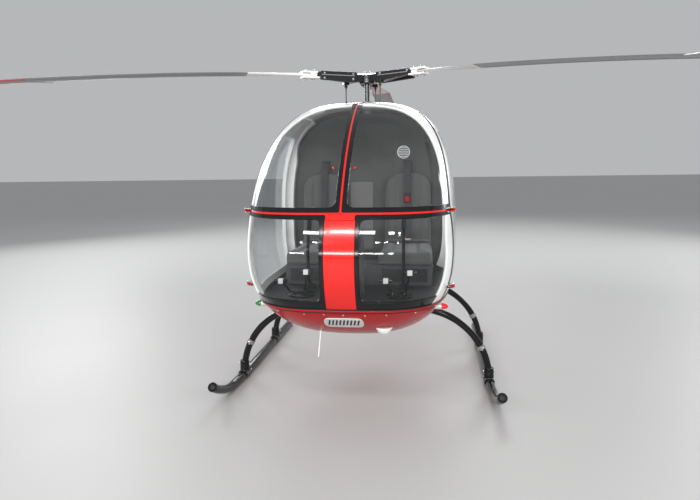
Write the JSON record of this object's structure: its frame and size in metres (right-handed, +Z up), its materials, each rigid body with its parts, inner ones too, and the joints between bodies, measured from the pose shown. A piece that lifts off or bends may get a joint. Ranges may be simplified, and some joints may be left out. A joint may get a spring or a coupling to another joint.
{
  "type": "light two-seat helicopter",
  "caption": "Light two-seat helicopter with a glazed egg-shaped cabin, hinged doors, a turning main rotor and tail rotor, a tail boom and tube skids.",
  "frame": {"origin": "on the floor under the skids, below the middle of the bounding box", "axes": "+Z up, nose towards -Y, +X to the aircraft's left side"},
  "size_m": [5.6904, 6.3231, 2.322],
  "materials": {
    "bright_red_paint": "high gloss bright red",
    "dark_red_paint": "gloss dark red",
    "white_paint": "gloss off-white",
    "black_paint": "gloss black",
    "clear_glazing": "clear acrylic, lightly tinted",
    "trim_grey": "matt dark grey",
    "seat_fabric": "woven dark grey",
    "bright_metal": "bright machined",
    "cast_metal": "sand-cast grey",
    "blade_skin": "satin light grey with a red tip",
    "lamp_white": "white dome",
    "lens_green": "green lens",
    "lens_red": "red lens"
  },
  "bodies": {
    "airframe": {"belly": "dark_red_paint", "cabin_floor": "trim_grey", "windscreen_frame": "black_paint", "nose_strip": "bright_red_paint", "windscreen_left": "clear_glazing", "windscreen_right": "clear_glazing", "chin_window_left": "clear_glazing", "chin_window_right": "clear_glazing", "roof_and_hoop": "white_paint", "rear_bulkhead": "trim_grey", "cowl_left": "dark_red_paint", "cowl_right": "dark_red_paint", "engine": "cast_metal", "main_gearbox": "cast_metal", "seat_box": "trim_grey", "seat_cushion_left": "seat_fabric", "seat_cushion_right": "seat_fabric", "seat_back_left": "seat_fabric", "seat_back_right": "seat_fabric", "instrument_console": "trim_grey", "pedals_left": "black_paint", "pedals_right": "black_paint", "cyclic_left": "black_paint", "cyclic_right": "black_paint", "collective_lever": "black_paint", "cross_tube_front": "black_paint", "cross_tube_rear": "black_paint", "skid_left": "black_paint", "skid_right": "black_paint", "landing_light": "lamp_white", "vent_grille": "bright_metal", "belly_rod": "white_paint", "nav_light_left": "lens_red", "nav_light_right": "lens_green", "tail_boom": "white_paint", "upper_fin": "dark_red_paint", "lower_fin": "dark_red_paint", "stabiliser_left": "dark_red_paint", "stabiliser_right": "dark_red_paint", "tail_gearbox": "cast_metal", "tail_guard": "black_paint"},
    "door_left": {"door_frame_left": "white_paint", "door_window_left": "clear_glazing"},
    "door_right": {"door_frame_right": "white_paint", "door_window_right": "clear_glazing"},
    "main_rotor": {"rotor_mast": "bright_metal", "rotor_hub": "black_paint", "hub_cap": "bright_metal", "rotor_blade_1": "blade_skin", "rotor_blade_2": "blade_skin", "rotor_blade_3": "blade_skin", "swashplate": "bright_metal"},
    "tail_rotor": {"tail_rotor_hub": "bright_metal", "tail_blade_1": "blade_skin", "tail_blade_2": "blade_skin"}
  },
  "joints": [
    {"name": "door_left_hinge", "type": "hinge", "parent": "airframe", "child": "door_left", "pos_m": [0.632, -2.66, 1.115], "axis": [0, 0, -1], "range_deg": [0, 75]},
    {"name": "door_right_hinge", "type": "hinge", "parent": "airframe", "child": "door_right", "pos_m": [-0.632, -2.66, 1.115], "axis": [0, 0, 1], "range_deg": [0, 75]},
    {"name": "main_rotor_spin", "type": "hinge", "parent": "airframe", "child": "main_rotor", "pos_m": [0, -1.46, 2.27], "axis": [0, 0, 1], "continuous": true},
    {"name": "tail_rotor_spin", "type": "hinge", "parent": "airframe", "child": "tail_rotor", "pos_m": [0.205, 2.54, 1.6], "axis": [1, 0, 0], "continuous": true}
  ]
}
